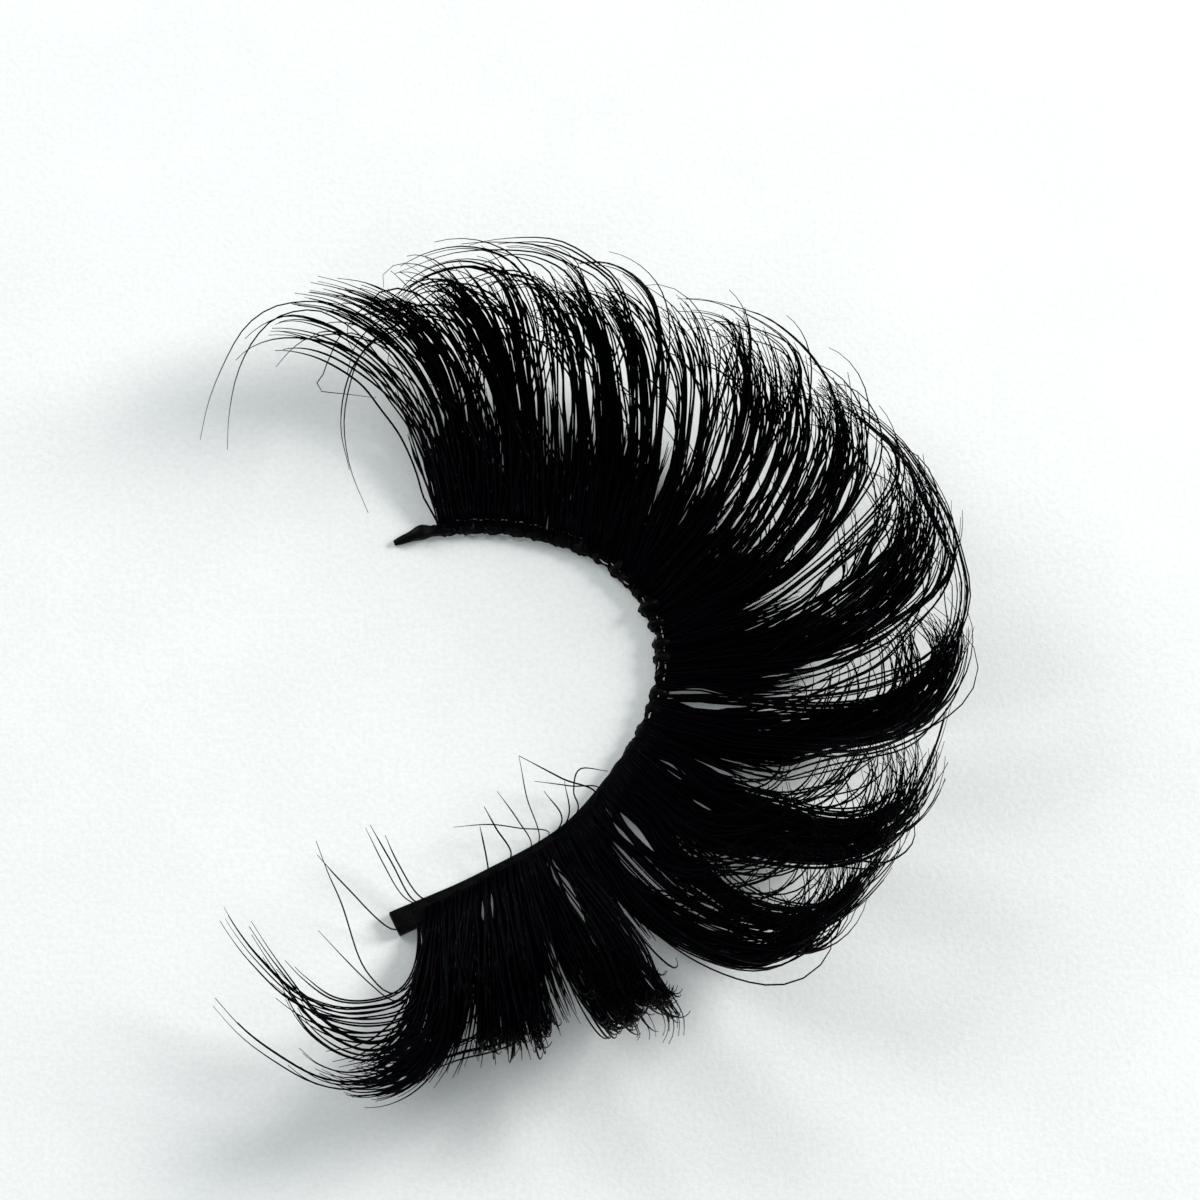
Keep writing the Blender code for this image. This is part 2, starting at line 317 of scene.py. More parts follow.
# locks: fan, distance along the band, heading and sweep in plan, lift and curl in slope, length,
# half widths at root, belly and tip, the shares of the length between which the heading turns,
# hook of the tips, strands in the lock, hairs in a strand, how loosely a strand's hairs lie,
# loose strands before the next row, wild hairs
lockTable = np.array([
    (1, 2.30, 104, 84, 4, 38, 12.8, 0.35, 0.90, 0.60, 0, 1, 20, 0, 0, 1.0, 1, 1),
    (1, 3.20, 96, 76, 4, 50, 13.4, 0.40, 0.80, 0.60, 0, 1, 20, 0, 0, 1.0, 1, 3),
    (1, 4.10, 92, 56, 2, 64, 12.6, 0.45, 0.95, 0.60, 0, 1, 60, 6, 4, 0.4, 1, 12),
    (2, 5.40, 84, 58, 0, 68, 13.2, 0.50, 0.26, 0.30, 0, 1, 40, 4, 13, 0.6, 1, 14),
    (2, 6.40, 92, 14, 0, 68, 12.6, 0.35, 0.50, 0.50, 0, 1, 80, 3, 3, 0.4, 1, 14),
    (3, 7.60, 85, 16, 0, 68, 12.4, 0.45, 0.65, 0.50, 0, 1, 80, 4, 3, 0.35, 1, 14),
    (3, 9.00, 78, 40, 0, 68, 13.2, 0.50, 0.65, 0.40, 0, 1, 60, 5, 7, 0.5, 1, 12),
    (3, 10.20, 73, 40, 0, 68, 13.4, 0.45, 0.80, 0.40, 0, 1, 60, 6, 8, 0.55, 0, 10),
    (4, 11.30, 60, 46, 0, 68, 13.8, 0.30, 0.70, 0.45, 0, 1, 50, 4, 5, 0.38, 1, 9),
    (4, 11.90, 48, 50, 0, 68, 14.0, 0.30, 0.80, 0.35, 0, 1, 45, 5, 6, 0.38, 1, 9),
    (4, 12.45, 41, 54, 0, 68, 13.9, 0.30, 0.70, 0.35, 0, 1, 45, 5, 6, 0.38, 1, 9),
    (5, 13.40, 36, 52, 0, 68, 14.1, 0.30, 0.75, 0.35, 0, 1, 50, 5, 6, 0.38, 1, 10),
    (5, 14.00, 25, 54, -1, 68, 14.9, 0.30, 1.00, 0.45, 0, 1, 55, 7, 7, 0.42, 1, 10),
    (5, 14.60, 17, 54, -1, 68, 15.2, 0.32, 0.85, 0.45, 0, 1, 60, 6, 7, 0.45, 1, 10),
    (6, 15.60, 8, 52, -2, 68, 15.9, 0.38, 0.90, 0.50, 0, 1, 70, 7, 7, 0.5, 1, 12),
    (6, 16.30, 2, 52, -2, 68, 16.1, 0.36, 0.80, 0.50, 0, 1, 70, 7, 8, 0.55, 1, 12),
    (7, 17.30, -5, 50, -3, 60, 16.0, 0.32, 0.75, 0.50, 0, 1, 75, 5, 5, 0.6, 1, 12),
    (7, 18.40, -19, 56, -3, 58, 16.2, 0.52, 1.10, 0.45, 0, 1, 90, 11, 11, 0.80, 1, 16),
    (8, 20.00, -41, 60, -3, 56, 15.9, 0.50, 0.75, 0.40, 0, 1, 95, 8, 10, 0.75, 1, 20),
    (8, 21.20, -46, 64, -3, 58, 15.7, 0.45, 0.65, 0.40, 0, 1, 95, 7, 10, 0.75, 0, 18),
    (9, 22.70, -53, 64, -3, 58, 15.5, 0.50, 0.55, 0.35, 0, 1, 95, 7, 9, 0.75, 1, 20),
    (9, 23.80, -56, 62, -3, 58, 15.3, 0.45, 0.60, 0.35, 0, 1, 95, 7, 10, 0.75, 1, 8),
    (9, 24.70, -58, 62, -3, 58, 15.1, 0.35, 0.55, 0.35, 0, 1, 95, 7, 10, 0.75, 0, 1),
    (10, 25.90, -66, 4, -3, 90, 13.5, 0.45, 0.90, 0.75, 0, 1, 0, 10, 11, 0.9, 5, 1),
    (10, 27.20, -67, 2, -3, 90, 13.5, 0.50, 0.85, 0.65, 0, 1, 0, 10, 11, 0.9, 0, 2),
    (11, 28.70, -81, 0, -3, 92, 12.2, 0.45, 0.55, 0.45, 0, 1, 0, 8, 11, 0.9, 4, 1),
    (11, 29.80, -87, 0, -3, 92, 12.0, 0.40, 0.55, 0.45, 0, 1, 0, 8, 11, 0.9, 0, 1),
    (12, 31.00, -92, -62, 0, 52, 11.9, 0.35, 0.45, 0.25, 0.15, 0.90, -12, 5, 7, 0.6, 0, 0),
    (12, 31.90, -90, -132, 0, 52, 16.2, 0.30, 0.45, 0.30, 0.22, 0.66, -8, 0, 0, 1.0, 0, 0),
    (12, 32.70, -97, -118, 2, 52, 14.4, 0.30, 0.45, 0.30, 0.20, 0.56, -8, 0, 0, 1.0, 0, 0),
])
lockNames = ("fan at heading sweep lift curl length root belly tip turnFrom turnTo hook "
             "strands thick open loose wild").split()
lock = dict(zip(lockNames, lockTable.T))


def widthAt(u, root, belly, tip):
    # the parabola that is root at 0, belly at 0.6 and tip at 1
    return (root * (u - 0.6) * (u - 1) / 0.6 + belly * u * (1 - u) / 0.24 + tip * u * (u - 0.6) / 0.4)


def hairPaths(value, across, under, near, nearUnder, places=27, hookFrom=0.6):
    # each hair steps along a heading and a slope that both turn with distance, the heading faster past hookFrom;
    # then it is moved sideways and over by its share of the lock's width and of its strand's; a first point
    # is put back inside the band
    u = np.linspace(0, 1, places - 1)
    hookFrom = np.broadcast_to(hookFrom, across.shape)[:, None]
    late = np.clip((u - hookFrom) / (1 - hookFrom), 0, 1)**1.6
    turnFrom, turnTo = value["turnFrom"][:, None], value["turnTo"][:, None]
    turned = np.clip((u - turnFrom) / (turnTo - turnFrom), 0, 1)**hair["sweepPower"]
    turn = np.radians(value["heading"][:, None] + value["sweep"][:, None] * turned + value["hook"][:, None] * late)
    rise = np.radians(value["lift"][:, None] + value["curl"][:, None] * u**hair["curlPower"])
    ahead = np.stack([np.cos(rise) * np.cos(turn), np.cos(rise) * np.sin(turn), np.sin(rise)], axis=-1)
    side = np.stack([-np.sin(turn), np.cos(turn), np.zeros_like(turn)], axis=-1)
    over = np.cross(ahead, side)
    steps = (ahead[:, 1:] + ahead[:, :-1]) / 2 * (value["length"] / (places - 2))[:, None, None]
    band, out = bandAt(value["at"]), bandOutward(value["at"])
    reach = band[:, 2] / 2 + hair["reach"]
    start = np.concatenate([band[:, :2] + out * reach[:, None], np.full((len(band), 1), 0.45)], axis=1)
    path = start[:, None] + np.concatenate([np.zeros((len(band), 1, 3)), np.cumsum(steps, axis=1)], axis=1)
    wide = across[:, None] * widthAt(u[None], *(value[key][:, None] for key in ("root", "belly", "tip")))
    thick = under[:, None] * widthAt(u, 0.16, 0.42, 0.30)
    belly = hair["strandBelly"] * value["open"][:, None]
    spread = widthAt(u[None], hair["strandRoot"], belly, hair["strandTip"])
    path = (path + side * (wide + near[:, None] * spread)[..., None]
            + over * (thick + nearUnder[:, None] * spread)[..., None])
    facing = np.clip((ahead[:, 0, :2] * out).sum(axis=1), 0.6, 1.0)
    inside = path[:, 0] - ahead[:, 0] * ((reach + 0.05) / facing)[:, None]
    return np.concatenate([inside[:, None], path], axis=1)


def lockHairs(seed):
    # strands spaced evenly over each lock with some disorder; the hairs of a strand share most of its bend
    chance = np.random.default_rng(seed)
    strands = lock["strands"].astype(int)
    row = np.repeat(np.arange(len(strands)), strands)
    order = np.arange(len(row)) - np.repeat(np.cumsum(strands) - strands, strands)
    across = -1 + (2 * order + 1) / strands[row] + chance.normal(0, 0.35, len(row)) / strands[row]
    under = chance.uniform(-1, 1, len(row))
    shared = chance.normal(0, 1, (4, len(row)))
    strand = np.repeat(np.arange(len(row)), lock["thick"].astype(int)[row])
    own = chance.normal(0, 1, (8, len(strand)))
    value = {key: lock[key][row[strand]] for key in lockNames}
    short = np.where(chance.random(len(strand)) < hair["shortShare"], chance.uniform(0.5, 0.9, len(strand)), 1.0)
    blunt = value["curl"] > hair["bluntCurl"]
    value["heading"] = value["heading"] + 1.2 * shared[0][strand] + 0.6 * own[0]
    value["sweep"] = value["sweep"] + 3.0 * shared[1][strand] + 1.5 * own[1]
    value["curl"] = value["curl"] + 3.0 * shared[2][strand] + 2.0 * own[2]
    level = np.where(blunt, 0.35, 1.0)
    value["length"] = value["length"] * (0.985 + level * (0.025 * shared[3][strand] + 0.02 * own[3])) * short
    value["hook"] = value["hook"] * (1 + 0.35 * own[4]) + np.where(blunt, 20 * own[7], 0)
    return hairPaths(value, across[strand], under[strand], own[5], own[6]), value["fan"].astype(int)


def betweenRows(row, share):
    # every column of the lock table mixed between a row and the next one
    after = np.minimum(row + 1, len(lockTable) - 1)
    value = {key: lock[key][row] * (1 - share) + lock[key][after] * share for key in lockNames}
    value["fan"] = np.where(share < 0.5, lock["fan"][row], lock["fan"][after])
    return value


def looseHairs(seed):
    # thin strands whose rows are mixed from two neighbouring locks
    chance = np.random.default_rng(seed)
    count = lock["loose"].astype(int)
    row = np.repeat(np.arange(len(count)), count)
    share = chance.uniform(0.15, 0.85, len(row))
    shared = chance.normal(0, 1, (4, len(row)))
    strand = np.repeat(np.arange(len(row)), 4)
    value = betweenRows(row[strand], share[strand])
    own = chance.normal(0, 1, (8, len(strand)))
    value["heading"] = value["heading"] + 1.5 * own[0]
    value["sweep"] = value["sweep"] + 5 * shared[1][strand] + 3 * own[1]
    value["curl"] = value["curl"] + 5 * shared[2][strand] + 3 * own[2]
    value["length"] = value["length"] * (0.97 + 0.04 * shared[3][strand] + 0.03 * own[3])
    value["hook"] = value["hook"] * (1 + 0.5 * own[4])
    return hairPaths(value, np.zeros(len(strand)), shared[0][strand], own[5], own[6]), value["fan"].astype(int)


def wildHairs(seed):
    # single hairs that hook early and far, so that they cross the gaps and each other along the rim
    chance = np.random.default_rng(seed)
    row = np.repeat(np.arange(len(lock["wild"])), lock["wild"].astype(int))
    value = {key: lock[key][row] for key in lockNames}
    own = chance.normal(0, 1, (8, len(row)))
    way = np.where(value["sweep"] < 0, -1, 1)
    value["heading"] = value["heading"] + 2.5 * own[0]
    value["sweep"] = value["sweep"] + way * (2 + 7 * own[1])
    value["curl"] = value["curl"] + 6 * own[2]
    value["length"] = value["length"] * np.minimum(1.02 + 0.06 * own[3], 1.12)
    value["hook"] = value["hook"] + way * np.abs(70 * own[4])
    hookFrom = chance.uniform(0.35, 0.75, len(row))
    still = np.zeros(len(row))
    paths = hairPaths(value, 0.75 * own[5], np.clip(own[6], -1.3, 1.3), still, still, hookFrom=hookFrom)
    return paths, value["fan"].astype(int)


def webHairs(seed):
    # short hairs all along the band that close the fans at their roots, most of them near the shorter length:
    # a random share to the power 1.5; they turn and rise as far as a full hair does in that length
    chance = np.random.default_rng(seed)
    first, last = lock["at"][0] - 0.2, lock["at"][-1] + 0.2
    patches = [(first, last, int(hair["webPerMm"] * (last - first)))] + hair["webCloser"]
    at = np.sort(np.concatenate([chance.uniform(start, end, count) for start, end, count in patches]))
    total = len(at)
    row = np.clip(np.searchsorted(lock["at"], at) - 1, 0, len(lockTable) - 2)
    share = np.clip((at - lock["at"][row]) / (lock["at"][row + 1] - lock["at"][row]), 0, 1)
    value = betweenRows(row, share)
    value["at"] = at
    full = value["length"]
    value["length"] = hair["webShort"] + (hair["webLong"] - hair["webShort"]) * chance.random(total)**1.5
    value["length"] *= 1 + hair["webFurther"] * np.clip((at - hair["webFurtherFrom"]) / 1.5, 0, 1)
    used = value["length"] / full
    own = chance.normal(0, 1, (4, total))
    value["heading"] = value["heading"] + 4 * own[0]
    value["sweep"] = value["sweep"] * used**hair["sweepPower"]
    value["curl"] = value["curl"] * used**hair["curlPower"] * 0.8
    value["turnTo"] = np.minimum(value["turnTo"] / used, 3.0)
    value["turnFrom"] = np.minimum(value["turnFrom"] / used, 0.9)
    value["hook"] = np.zeros(total)
    paths = hairPaths(value, np.zeros(total), np.clip(0.9 * own[2], -1.6, 1.8), own[1], own[3], places=9)
    return paths, value["fan"].astype(int)


# partings: a lens-shaped gap between two pixels of the frame, its half width in millimetres, and 1 where no
# hair crosses it
partingTable = np.array([
    (678, 688, 722, 714, 0.28, 1),
    (655, 758, 694, 784, 0.26, 1),
    (617, 808, 656, 854, 0.20, 1),
    (610, 822, 638, 846, 0.09, 1),
    (602, 838, 668, 890, 0.20, 1),
    (546, 866, 566, 890, 0.14, 1),
    (556, 868, 588, 918, 0.14, 1),
    (481, 896, 485, 920, 0.13, 1),
    (491, 894, 495, 920, 0.12, 1),
    (678, 634, 722, 640, 0.06, 0),
    (697, 660, 722, 662, 0.06, 0),
    (676, 793, 726, 815, 0.08, 0),
    (700, 600, 742, 580, 0.06, 0),
    (640, 545, 672, 528, 0.08, 0),
    (690, 735, 712, 741, 0.06, 0),
    (661, 478, 677, 352, 0.17, 0),
    (752, 603, 828, 581, 0.15, 1),
    (800, 592, 876, 556, 0.24, 0),
    (848, 570, 914, 524, 0.22, 0),
    (790, 706, 918, 676, 0.36, 0),
    (893, 690, 946, 604, 0.46, 0),
    (785, 774, 940, 788, 0.80, 0),
    (712, 864, 872, 896, 0.85, 0),
    (752, 452, 712, 540, 0.14, 0),
    (812, 470, 742, 562, 0.16, 0),
    (845, 500, 775, 568, 0.14, 0),
    (878, 452, 815, 535, 0.16, 0),
    (735, 395, 700, 520, 0.14, 0),
    (700, 380, 690, 500, 0.13, 0),
    (547, 470, 545, 330, 0.16, 0),
    (562, 462, 575, 320, 0.16, 0),
    (590, 460, 590, 330, 0.12, 0),
    (628, 440, 622, 320, 0.10, 0),
    (446, 330, 470, 440, 0.16, 0),
    (520, 330, 548, 440, 0.12, 0),
])


def partHairs(paths, fans):
    # where the sight line to a hair meets the paper inside the lens, the hair moves away from its middle line;
    # hairs that cross the middle line of a clear lens are left out
    tables = place["pixel"] * np.array([1.0, -1.0])
    zero = np.array(place["pixelZero"])
    slope = np.tan(place["tilt"])
    keep = np.ones(len(paths), dtype=bool)
    for x1, y1, x2, y2, half, clear in partingTable:
        ends = (np.array([(x1, y1), (x2, y2)]) - zero) * tables / np.array([1.0, np.cos(place["tilt"])])
        middle, along = ends.mean(axis=0), (ends[1] - ends[0]) / 2
        reach = np.linalg.norm(along)
        along = along / reach
        square = np.array([-along[1], along[0]])
        flat = paths[..., :2] + np.stack([np.zeros(paths.shape[:2]), paths[..., 2] * slope], axis=-1) - middle
        a, b = flat @ along / reach, flat @ square
        nearest = np.abs(a).argmin(axis=1)
        way = np.where(b[np.arange(len(b)), nearest] < 0, -1.0, 1.0)[:, None]
        lens = half * np.clip(1 - a**2, 0, 1)
        push = way * lens * np.clip(1 - np.abs(b) / (4 * half), 0, 1)
        paths[..., :2] += push[..., None] * square
        b = b + push
        crosses = (b[:, 1:] * b[:, :-1] < 0) & (np.abs(a[:, 1:] + a[:, :-1]) < 1.7)
        keep &= (clear == 0) | ~crosses.any(axis=1)
    return paths[keep], fans[keep]


# guided strands: fan (0 for single strays), distance along the band of the root, height of the tip, hairs,
# spread at root and tip in pixels, then pixels that the strand passes
guideTable = [
    (1, 2.2, 4.2, 4, 3, 5,
     [(434, 500), (425, 465), (410, 430), (390, 401), (371, 376), (346, 357), (318, 343), (288, 336),
      (262, 336)]),
    (1, 2.3, 4.4, 3, 3, 6,
     [(438, 490), (430, 450), (412, 408), (388, 374), (358, 347), (325, 327), (290, 318), (262, 328),
      (243, 345)]),
    (1, 2.4, 4.6, 5, 3, 7,
     [(442, 485), (437, 440), (420, 395), (395, 358), (362, 330), (325, 312), (285, 305)]),
    (1, 2.6, 4.8, 6, 3, 7,
     [(447, 480), (445, 430), (430, 385), (403, 345), (370, 318), (335, 302), (295, 296)]),
    (1, 2.8, 5.0, 8, 3, 6,
     [(452, 480), (452, 425), (438, 375), (412, 335), (380, 308), (345, 293), (308, 285)]),
    (1, 3.0, 5.2, 8, 4, 7,
     [(458, 480), (461, 425), (448, 370), (423, 328), (393, 303), (362, 288), (330, 283)]),
    (1, 3.3, 5.4, 6, 4, 9, [(466, 480), (470, 420), (460, 365), (438, 325), (410, 300), (378, 285)]),
    (1, 3.7, 5.8, 5, 4, 10, [(476, 480), (480, 410), (472, 350), (452, 312), (425, 285), (398, 270)]),
    (0, 2.2, 3.6, 1, 0, 0,
     [(430, 470), (405, 400), (365, 340), (327, 313), (302, 309), (273, 318), (251, 342), (236, 376),
      (229, 416), (228, 450)]),
    (0, 2.5, 4.0, 1, 0, 0,
     [(436, 460), (412, 385), (372, 330), (327, 303), (297, 301), (268, 308), (243, 328), (224, 362),
      (209, 401), (201, 440)]),
    (0, 2.4, 4.0, 1, 0, 0,
     [(445, 440), (440, 360), (415, 320), (385, 330), (361, 352), (349, 386), (344, 425), (351, 469),
      (369, 513)]),
    (0, 2.6, 3.6, 1, 0, 0,
     [(447, 440), (437, 370), (410, 330), (380, 336), (357, 358), (344, 390), (341, 430), (350, 470)]),
    (0, 2.2, 4.2, 1, 0, 0,
     [(436, 460), (415, 400), (385, 350), (345, 332), (330, 355), (322, 376), (317, 382), (320, 391),
      (345, 394), (376, 398)]),
    (0, 2.4, 4.6, 1, 0, 0, [(438, 440), (400, 360), (350, 335), (310, 338), (290, 352), (277, 368)]),
    (2, 5.0, 6.6, 2, 3, 5,
     [(500, 440), (492, 370), (470, 320), (445, 285), (420, 270), (400, 268), (388, 276), (392, 294)]),
    (2, 5.2, 6.6, 2, 3, 6,
     [(505, 430), (495, 350), (465, 300), (430, 290), (405, 303), (390, 322), (384, 345)]),
    (2, 5.6, 6.4, 3, 3, 6,
     [(510, 460), (508, 390), (490, 320), (460, 285), (425, 285), (400, 305), (385, 330)]),
    (2, 6.5, 6.8, 4, 3, 6,
     [(545, 470), (543, 390), (530, 320), (505, 275), (470, 262), (435, 268), (405, 285)]),
    (2, 6.2, 6.8, 2, 3, 6,
     [(535, 460), (530, 380), (505, 310), (470, 285), (440, 290), (415, 310), (405, 335)]),
    (3, 8.6, 7.0, 4, 3, 5,
     [(600, 470), (600, 390), (592, 320), (575, 275), (545, 255), (510, 250), (475, 262)]),
    (3, 7.6, 6.8, 3, 3, 8,
     [(575, 470), (573, 380), (555, 310), (525, 280), (490, 280), (460, 298), (445, 325)]),
    (3, 8.2, 6.8, 3, 3, 8, [(588, 470), (588, 380), (572, 305), (540, 270), (500, 272), (470, 290)]),
    (3, 10.0, 7.2, 5, 3, 6,
     [(640, 480), (655, 400), (662, 340), (655, 300), (635, 275), (605, 262), (570, 265)]),
    (3, 9.6, 7.4, 2, 2, 3,
     [(628, 450), (635, 350), (620, 288), (596, 264), (561, 244), (522, 241), (473, 249), (438, 270)]),
    (4, 11.4, 7.2, 4, 3, 6,
     [(680, 520), (705, 450), (730, 390), (745, 345), (735, 320), (710, 308), (675, 305)]),
    (4, 12.2, 7.4, 5, 3, 6,
     [(700, 540), (745, 480), (785, 420), (800, 380), (792, 350), (770, 330), (735, 312)]),
    (4, 12.6, 7.6, 2, 2, 3, [(760, 500), (805, 420), (800, 365), (780, 343), (740, 331), (705, 330)]),
    (5, 13.6, 7.4, 5, 3, 6,
     [(735, 590), (790, 540), (835, 490), (857, 445), (850, 410), (830, 385), (800, 360)]),
    (5, 14.6, 7.4, 6, 4, 6,
     [(750, 615), (810, 575), (860, 530), (893, 490), (897, 455), (875, 428), (845, 405), (815, 390)]),
    (5, 14.2, 7.6, 2, 2, 3,
     [(800, 530), (845, 450), (833, 395), (820, 368), (800, 343), (770, 320), (740, 310), (700, 303),
      (670, 305)]),
    (6, 15.6, 7.4, 6, 4, 6,
     [(750, 650), (820, 630), (875, 600), (912, 560), (930, 520), (925, 485), (905, 452), (875, 425)]),
    (6, 16.3, 7.4, 7, 4, 6,
     [(750, 670), (820, 662), (880, 640), (925, 605), (945, 565), (945, 525), (930, 490), (905, 455)]),
    (6, 16.4, 7.4, 4, 3, 4,
     [(820, 650), (910, 610), (950, 570), (940, 535), (925, 505), (905, 462), (872, 430), (845, 412),
      (800, 405)]),
    (7, 17.3, 7.2, 7, 4, 4,
     [(740, 700), (820, 706), (885, 697), (928, 670), (951, 635), (958, 592), (950, 550)]),
    (7, 17.6, 7.4, 4, 3, 3,
     [(850, 690), (940, 650), (965, 600), (957, 550), (942, 510), (922, 478), (900, 447), (870, 420),
      (830, 395), (790, 385)]),
    (7, 18.4, 7.2, 9, 5, 4,
     [(730, 738), (800, 744), (865, 742), (912, 724), (940, 694), (954, 655), (957, 612)]),
    (3, 9.6, 6.6, 2, 6, 10, [(545, 420), (560, 330), (551, 274), (512, 257), (468, 249), (424, 254)]),
    (3, 9.0, 6.4, 3, 6, 10,
     [(520, 420), (530, 345), (517, 288), (493, 264), (454, 257), (410, 274), (385, 308)]),
    (3, 8.0, 6.0, 3, 8, 12, [(505, 420), (512, 350), (500, 300), (478, 276), (434, 284), (395, 313)]),
    (2, 6.6, 5.6, 3, 6, 10, [(470, 420), (478, 370), (454, 332), (415, 318), (376, 320), (341, 337)]),
    (2, 6.0, 5.2, 2, 6, 8,
     [(455, 430), (470, 370), (468, 328), (434, 313), (395, 323), (366, 347), (356, 381)]),
    (4, 11.2, 6.8, 2, 6, 6,
     [(600, 420), (622, 335), (606, 284), (562, 258), (522, 248), (456, 250), (395, 272)]),
    (8, 20.0, 7.0, 9, 5, 4,
     [(700, 790), (770, 820), (835, 832), (882, 818), (912, 790), (932, 748), (946, 700)]),
    (8, 21.2, 7.0, 9, 5, 4,
     [(690, 828), (760, 852), (822, 858), (868, 846), (898, 820), (916, 785), (930, 745)]),
    (9, 23.8, 6.8, 9, 5, 4,
     [(660, 888), (715, 918), (770, 928), (818, 912), (850, 888), (878, 855), (900, 812)]),
    (9, 24.7, 6.8, 12, 6, 3,
     [(640, 900), (688, 938), (738, 958), (778, 949), (815, 922), (848, 896), (870, 868), (892, 838)]),
    (9, 24.5, 6.2, 1, 0, 0,
     [(650, 905), (700, 940), (755, 958), (790, 950), (812, 946), (820, 938), (818, 926)]),
    (10, 25.6, 6.4, 4, 5, 5, [(634, 930), (655, 970), (672, 995), (680, 1012), (679, 1032)]),
    (10, 26.4, 6.4, 5, 6, 8, [(606, 930), (630, 985), (648, 1012), (653, 1030), (645, 1046)]),
    (10, 26.0, 6.4, 4, 6, 6, [(622, 930), (646, 980), (664, 1004), (668, 1022), (660, 1038)]),
    (11, 29.2, 6.2, 2, 5, 6, [(505, 960), (515, 1010), (518, 1035), (512, 1048)]),
    (12, 30.6, 3.6, 4, 4, 8,
     [(478, 960), (505, 1005), (520, 1030), (495, 1042), (460, 1050), (430, 1062), (405, 1080)]),
    (12, 30.8, 3.4, 3, 4, 8, [(475, 960), (488, 1000), (478, 1022), (455, 1034), (430, 1048), (410, 1062)]),
    (12, 31.2, 3.2, 3, 4, 8, [(462, 960), (475, 1000), (484, 1018), (492, 1030)]),
    (12, 32.9, 4.6, 4, 4, 4,
     [(424, 940), (420, 975), (405, 998), (375, 1006), (337, 1006), (296, 989), (261, 955), (240, 928),
      (226, 905)]),
    (12, 32.8, 4.4, 4, 4, 8,
     [(428, 950), (422, 985), (404, 1008), (370, 1014), (335, 1008), (305, 992), (278, 970)]),
    (12, 32.9, 4.0, 3, 4, 6,
     [(421, 940), (415, 970), (398, 990), (365, 998), (335, 993), (308, 973), (290, 955)]),
    (12, 32.5, 4.6, 4, 5, 4,
     [(430, 960), (424, 1000), (405, 1032), (372, 1042), (340, 1030), (312, 1006), (290, 978), (268, 948),
      (247, 915)]),
    (12, 32.4, 4.4, 4, 5, 8,
     [(432, 960), (427, 1005), (408, 1040), (375, 1054), (345, 1048), (318, 1030), (300, 1008),
      (285, 980)]),
    (12, 32.6, 4.2, 3, 5, 8,
     [(428, 955), (421, 992), (402, 1020), (372, 1028), (340, 1022), (312, 1005), (299, 985)]),
    (12, 32.0, 4.8, 3, 5, 4,
     [(438, 970), (434, 1010), (418, 1045), (390, 1068), (355, 1077), (320, 1071), (284, 1051),
      (249, 1025), (217, 990)]),
    (12, 32.1, 4.4, 5, 6, 8,
     [(437, 970), (432, 1008), (414, 1042), (385, 1063), (350, 1069), (320, 1060), (298, 1042)]),
    (12, 31.5, 4.4, 8, 6, 4,
     [(447, 975), (445, 1012), (432, 1044), (409, 1069), (384, 1081), (360, 1083), (340, 1076)]),
    (12, 31.4, 4.6, 8, 6, 4, [(450, 975), (449, 1013), (438, 1048), (415, 1075), (388, 1088), (362, 1090)]),
    (12, 31.8, 4.4, 7, 7, 8,
     [(441, 975), (438, 1012), (424, 1047), (400, 1071), (372, 1081), (345, 1079), (320, 1068)]),
    (0, 32.5, 3.0, 1, 0, 0,
     [(424, 955), (410, 983), (392, 989), (375, 975), (361, 952), (345, 902), (331, 870), (319, 838)]),
    (0, 32.4, 3.2, 1, 0, 0, [(428, 960), (414, 990), (395, 996), (372, 979), (349, 956), (322, 926)]),
    (0, 33.0, 2.4, 1, 0, 0, [(393, 926), (349, 885), (320, 852)]),
    (0, 31.9, 1.6, 1, 0, 0, [(414, 897), (393, 860), (372, 823)]),
    (0, 32.2, 1.6, 1, 0, 0, [(406, 895), (385, 862), (367, 826)]),
    (0, 31.7, 1.4, 1, 0, 0, [(420, 893), (400, 862), (387, 833)]),
    (0, 27.8, 1.8, 1, 0, 0, [(540, 838), (527, 795), (519, 755)]),
    (0, 26.2, 1.6, 1, 0, 0, [(597, 796), (562, 777), (519, 755)]),
    (0, 25.8, 1.2, 1, 0, 0, [(600, 790), (570, 785), (535, 780)]),
    (0, 26.6, 1.6, 1, 0, 0, [(577, 812), (574, 790), (580, 768), (608, 770)]),
    (0, 26.9, 1.2, 1, 0, 0, [(568, 818), (565, 780)]),
    (0, 28.2, 1.4, 1, 0, 0, [(532, 845), (518, 818), (498, 790)]),
    (0, 27.6, 1.4, 1, 0, 0, [(550, 832), (520, 827), (490, 823), (455, 825)]),
    (0, 29.4, 1.2, 1, 0, 0, [(489, 866), (481, 825)]),
    (0, 28.8, 1.4, 1, 0, 0, [(512, 852), (497, 827), (485, 805)]),
    (0, 27.1, 1.2, 1, 0, 0, [(562, 820), (545, 790)]),
]


